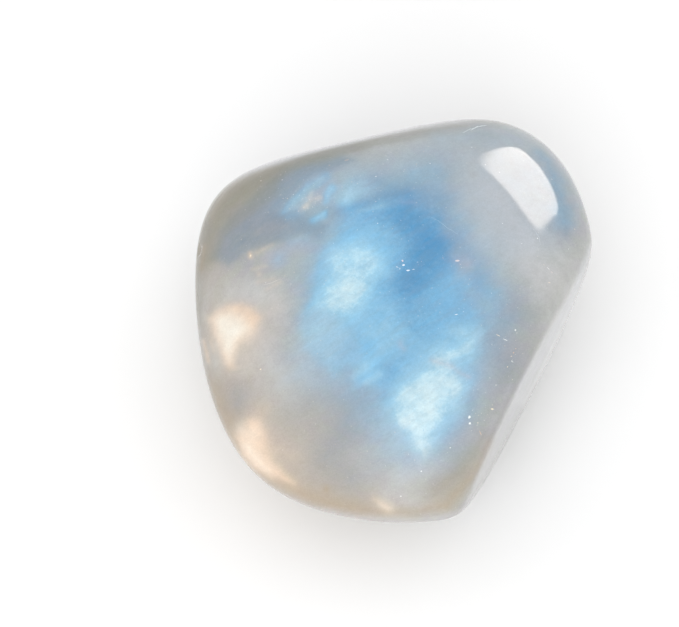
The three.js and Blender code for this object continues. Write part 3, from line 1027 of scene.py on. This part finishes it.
corner = np.arange(FLECK_SIDES)
beside = (corner + 1) % FLECK_SIDES
over = np.stack([corner, beside, np.full(FLECK_SIDES, FLECK_SIDES)], 1)
under = np.stack([beside, corner, np.full(FLECK_SIDES, FLECK_SIDES + 1)], 1)
start = np.arange(len(spots))[:, None, None] * (FLECK_SIDES + 2)
fleck_faces = (np.concatenate([over, under]) + start).reshape(-1, 3)
fleck_mesh = mesh_of("cleavage_flecks", lens.reshape(-1, 3), fleck_faces.tolist())
carry(fleck_mesh, "tint", tints)


def tinted(name, roughness):
    """A polished material in the tints of its mesh."""
    material = bpy.data.materials.new(name)
    material.use_nodes = True
    gloss = material.node_tree.nodes["Principled BSDF"]
    shade = material.node_tree.nodes.new("ShaderNodeAttribute")
    shade.attribute_name = "tint"
    material.node_tree.links.new(shade.outputs["Color"], gloss.inputs["Base Color"])
    gloss.inputs["Roughness"].default_value = roughness
    gloss.inputs["IOR"].default_value = FELDSPAR_IOR
    return material


fleck_mesh.materials.append(tinted("cleavage_face", 0.2))
flecks = placed("cleavage_flecks", fleck_mesh)
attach(flecks, "root")

# ------------------------------------------------------------------------------
# The healed cracks: hairlines where the stone has cracked and grown together again. The polish
# runs over them, and they show as thin pale or dark lines in it.

# Each crack: the points it runs through as they appear, its greatest width and its tint.
CRACKS = [
    ([(2.4, 7.5), (3.1, 7.15), (3.8, 6.65), (4.6, 6.2)], 0.03, "A9BFD2"),
    ([(-11.4, -3.9), (-10.6, -3.75), (-10.0, -3.4)], 0.07, "988E7C"),
    ([(5.15, 13.6), (5.7, 13.88), (6.35, 14.0)], 0.14, "CDD6DA"),
    ([(4.6, 13.4), (5.2, 13.72), (5.5, 13.8)], 0.06, "C4CED4"),
    ([(-9.2, 2.35), (-8.6, 2.5), (-7.9, 2.85)], 0.04, "C9BFB4"),
    ([(9.7, 6.9), (10.2, 6.2), (10.3, 5.6)], 0.035, "C2CCD4"),
]

# Stations along a crack, how much of its tint shows, how far it wanders in millimetres, how
# bluntly it ends, and how far it stands out and is sunk as shares of its half width.
CRACK_STATIONS = 28
CRACK_STRENGTH = 0.6
CRACK_WANDER = 0.012
CRACK_TAPER = 0.7
CRACK_RISE = 0.32
CRACK_SINK = 0.096


def hairline(path, width):
    """A thin lens along a path: its points, its faces, and the stone's colour around its points.

    Stations stand at equal shares t of the path's length. At each, four corners lie around the
    path: to its sides, above and below. The half width is multiplied by sin(180 t) to the power
    of the taper, and the line ends in a point at both ends.
    """
    path = np.array(path)
    run = np.concatenate([[0], np.cumsum(np.linalg.norm(np.diff(path, axis=0), axis=1))])
    share = np.linspace(0, 1, CRACK_STATIONS)
    line = np.stack([np.interp(share * run[-1], run, path[:, k]) for k in (0, 1)], 1)
    line[1:-1] += random.normal(0, CRACK_WANDER, (CRACK_STATIONS - 2, 2))
    seat, up, shade = on_stone(line)
    ahead = unit(np.gradient(seat, axis=0))
    half = (width / 2 * MM * np.sin(np.pi * share[1:-1]) ** CRACK_TAPER)[:, None]
    aside = unit(np.cross(up, ahead))[1:-1] * half
    middle = seat[1:-1] - up[1:-1] * half * CRACK_SINK
    over = up[1:-1] * half * CRACK_RISE
    around = np.stack([middle - aside, middle + over, middle + aside, middle - over], 1)
    corners = np.concatenate([around.reshape(-1, 3), seat[:1], seat[-1:]])
    number = np.arange(len(half) * 4).reshape(-1, 4)
    after = np.roll(number, -1, axis=1)
    sides = np.stack([number[:-1], after[:-1], after[1:], number[1:]], -1).reshape(-1, 4).tolist()
    first, last = len(half) * 4, len(half) * 4 + 1
    sides += [(first, b, a) for a, b in zip(number[0].tolist(), after[0].tolist())]
    sides += [(a, b, last) for a, b in zip(number[-1].tolist(), after[-1].tolist())]
    shades = np.concatenate([np.repeat(shade[1:-1], 4, axis=0), shade[:1], shade[-1:]])
    return corners, sides, shades


crack_points, crack_faces, crack_tints = [], [], []
for path, width, code in CRACKS:
    corners, sides, shades = hairline(path, width)
    crack_faces += [tuple(k + len(crack_points) for k in side) for side in sides]
    crack_points += corners.tolist()
    crack_tints += (shades + CRACK_STRENGTH * (np.array(colour(code)) - shades)).tolist()
crack_mesh = mesh_of("healed_cracks", np.array(crack_points), crack_faces)
carry(crack_mesh, "tint", np.array(crack_tints))
crack_mesh.materials.append(tinted("healed_feldspar", 0.3))
cracks = placed("healed_cracks", crack_mesh)
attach(cracks, "root")

# ------------------------------------------------------------------------------
# The floor: a wide flat sheet of pale, dull paper, which takes the pebble's soft shadow. It isn't
# part of the pebble.

FLOOR_HALF = 1.5
floor_corners = np.array([(-1, -1, 0), (1, -1, 0), (1, 1, 0), (-1, 1, 0)]) * FLOOR_HALF
floor_mesh = mesh_of("floor", floor_corners, [(0, 1, 2, 3)])
paper = bpy.data.materials.new("pale_paper")
paper.use_nodes = True
sheet = paper.node_tree.nodes["Principled BSDF"]
sheet.inputs["Base Color"].default_value = colour("F4F4F4")
sheet.inputs["Roughness"].default_value = 0.9
floor_mesh.materials.append(paper)
floor = placed("floor", floor_mesh)

# ------------------------------------------------------------------------------
# Studio light: an even white room, a soft round lamp in front, and a softbox that the polish
# mirrors on the far shoulder. The softbox is a card of glowing cloth, pulled out to four corners.

room = bpy.data.worlds.new("studio")
room.use_nodes = True
room.node_tree.nodes["Background"].inputs["Color"].default_value = (1, 1, 1, 1)
room.node_tree.nodes["Background"].inputs["Strength"].default_value = 1.0
bpy.context.scene.world = room
bpy.context.scene.view_settings.view_transform = "Standard"

FRONT_FAR = 0.8
FRONT_LOOK = outlook(-100, 30)
front = bpy.data.lights.new("front_light", "AREA")
front.shape = "DISK"
front.size = 0.9
front.energy = 3.6
front_lamp = placed("front_light", front)
front_lamp.location = HEART + FRONT_LOOK * FRONT_FAR
front_lamp.rotation_euler = Vector(FRONT_LOOK).to_track_quat("Z", "Y").to_euler()
front_lamp.visible_camera = False
front_lamp.visible_glossy = False

SOFTBOX_FAR = 0.6
SOFTBOX_LOOK = outlook(50, 16)
# The softbox's lower left, lower right, upper left and upper right corners, seen from the
# pebble, as shares of its distance to the right and up.
SOFTBOX_CORNERS = np.array([(-0.22, -0.28), (0.10, -0.18), (-0.18, 0.25), (0.095, 0.13)])
SOFTBOX_SQUARENESS = 5.5
SOFTBOX_RAYS = 64
SOFTBOX_RINGS = 12
CLOTH_GLOW = 7.0
right = unit(np.cross(SOFTBOX_LOOK, (0, 0, 1)))
upward = np.cross(right, SOFTBOX_LOOK)
bearings = np.arange(SOFTBOX_RAYS) * 2 * math.pi / SOFTBOX_RAYS
ray = np.stack([np.cos(bearings), np.sin(bearings)], 1)
ray /= (np.abs(ray) ** SOFTBOX_SQUARENESS).sum(1, keepdims=True) ** (1 / SOFTBOX_SQUARENESS)
rings = np.arange(1, SOFTBOX_RINGS + 1)[:, None, None] / SOFTBOX_RINGS * ray
east, north = (1 + np.concatenate([[(0, 0)], rings.reshape(-1, 2)]).T[:, :, None]) / 2
bottom = SOFTBOX_CORNERS[0] + east * (SOFTBOX_CORNERS[1] - SOFTBOX_CORNERS[0])
top = SOFTBOX_CORNERS[2] + east * (SOFTBOX_CORNERS[3] - SOFTBOX_CORNERS[2])
spread = bottom + north * (top - bottom)
card = HEART + SOFTBOX_FAR * (SOFTBOX_LOOK + spread[:, :1] * right + spread[:, 1:] * upward)
number = 1 + np.arange(SOFTBOX_RINGS * SOFTBOX_RAYS).reshape(SOFTBOX_RINGS, SOFTBOX_RAYS)
after = np.roll(number, -1, axis=1)
hub = [(0, a, b) for a, b in zip(number[0].tolist(), after[0].tolist())]
bands = np.stack([number[:-1], number[1:], after[1:], after[:-1]], -1).reshape(-1, 4)
softbox_mesh = mesh_of("softbox", card, hub + bands.tolist())
# The cloth is dimmer towards its upper left corner.
carry(softbox_mesh, "cloth", CLOTH_GLOW * smooth(east + 0.5 * (1 - north), 0.05, 0.42)[:, 0])
glow = bpy.data.materials.new("softbox_cloth")
glow.use_nodes = True
wires = glow.node_tree
wires.nodes.clear()
emission = wires.nodes.new("ShaderNodeEmission")
emission.inputs["Color"].default_value = (1.0, 0.92, 0.86, 1.0)
brightness = wires.nodes.new("ShaderNodeAttribute")
brightness.attribute_name = "cloth"
shown = wires.nodes.new("ShaderNodeOutputMaterial")
wires.links.new(brightness.outputs["Fac"], emission.inputs["Strength"])
wires.links.new(emission.outputs["Emission"], shown.inputs["Surface"])
softbox_mesh.materials.append(glow)
softbox = placed("softbox", softbox_mesh)
softbox.visible_camera = False
softbox.visible_diffuse = False
softbox.visible_transmission = False
softbox.visible_shadow = False

# ------------------------------------------------------------------------------
# The camera looks down on the pebble from the front, square to the sheen layers, through a long
# lens. It aims a little to the left of the heart, so many millimetres across and along.

AIM = (-3.73, 0.47)
eye = HEART + OUT * LOOK_FROM * MM
aim = HEART + (AIM @ np.stack([ACROSS, ALONG])) * MM
sight = bpy.data.cameras.new("camera")
sight.lens = 200
sight.sensor_width = 36
camera = placed("camera", sight)
camera.location = eye
camera.rotation_euler = Vector(eye - aim).to_track_quat("Z", "Y").to_euler()
bpy.context.scene.camera = camera
